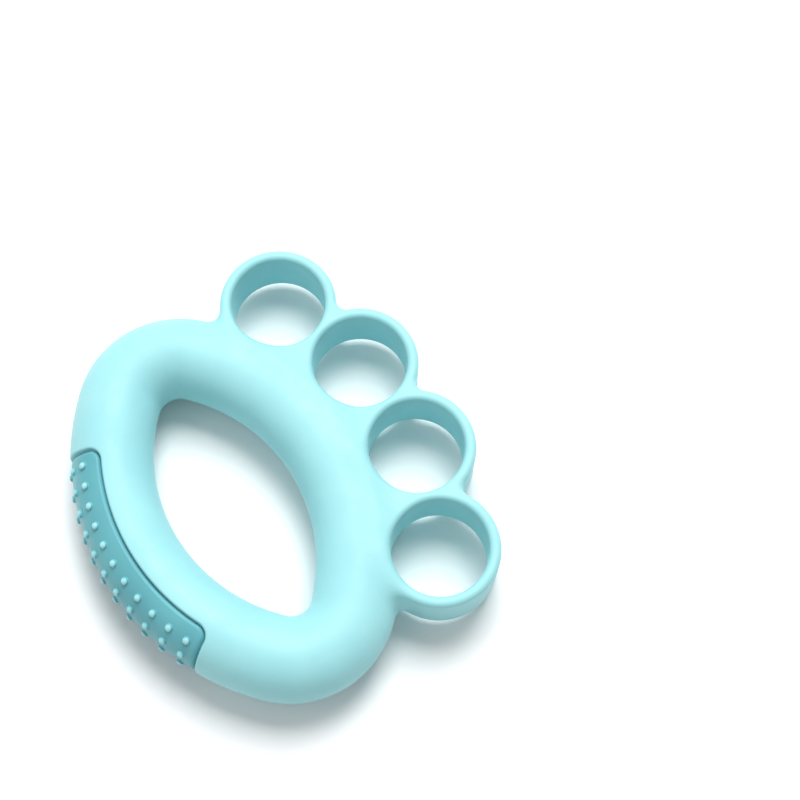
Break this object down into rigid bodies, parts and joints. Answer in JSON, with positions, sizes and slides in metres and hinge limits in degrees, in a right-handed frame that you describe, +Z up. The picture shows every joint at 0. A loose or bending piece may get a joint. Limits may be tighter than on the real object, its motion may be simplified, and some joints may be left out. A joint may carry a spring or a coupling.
{
  "type": "hand grip strengthener",
  "caption": "Soft silicone squeeze ring with a round section, a row of finger loops along one side and a nubbed palm pad set in the other.",
  "frame": {"origin": "middle of the footprint on the surface that it lies on, under the middle of the whole outline", "axes": "+Z up out of the surface, through the ring's opening; +X from the index finger to the little finger, along the ring; +Y from the palm pad to the finger loops"},
  "size_m": [0.1114, 0.1012, 0.0215],
  "materials": {
    "silicone_body": "matte",
    "silicone_pad": "matte"
  },
  "bodies": {
    "palm_side": {"ring_palm_side": "silicone_body", "palm_pad": "silicone_pad", "ring_end_index": "silicone_body", "ring_end_little": "silicone_body"},
    "finger_side": {"ring_finger_side": "silicone_body", "loop_side_index": "silicone_body", "web_index_middle": "silicone_body", "web_middle_ring": "silicone_body", "web_ring_little": "silicone_body", "loop_side_little": "silicone_body"},
    "index_loop": {"loop_bow_index": "silicone_body"},
    "middle_loop": {"loop_bow_middle": "silicone_body"},
    "ring_loop": {"loop_bow_ring": "silicone_body"},
    "little_loop": {"loop_bow_little": "silicone_body"}
  },
  "joints": [
    {"name": "ring_squeeze", "type": "slide", "parent": "palm_side", "child": "finger_side", "axis": [0, -1, 0], "range_m": [0, 0.022], "stiffness_N_per_m": 6000, "deforming": ["ring_end_index", "ring_end_little"]},
    {"name": "index_loop_stretch", "type": "slide", "parent": "finger_side", "child": "index_loop", "axis": [-0.5042, 0.8636, 0], "range_m": [0, 0.006], "stiffness_N_per_m": 900},
    {"name": "middle_loop_stretch", "type": "slide", "parent": "finger_side", "child": "middle_loop", "axis": [-0.1752, 0.9845, 0], "range_m": [0, 0.006], "stiffness_N_per_m": 900},
    {"name": "ring_loop_stretch", "type": "slide", "parent": "finger_side", "child": "ring_loop", "axis": [0.1752, 0.9845, 0], "range_m": [0, 0.006], "stiffness_N_per_m": 900},
    {"name": "little_loop_stretch", "type": "slide", "parent": "finger_side", "child": "little_loop", "axis": [0.5042, 0.8636, 0], "range_m": [0, 0.006], "stiffness_N_per_m": 900}
  ]
}
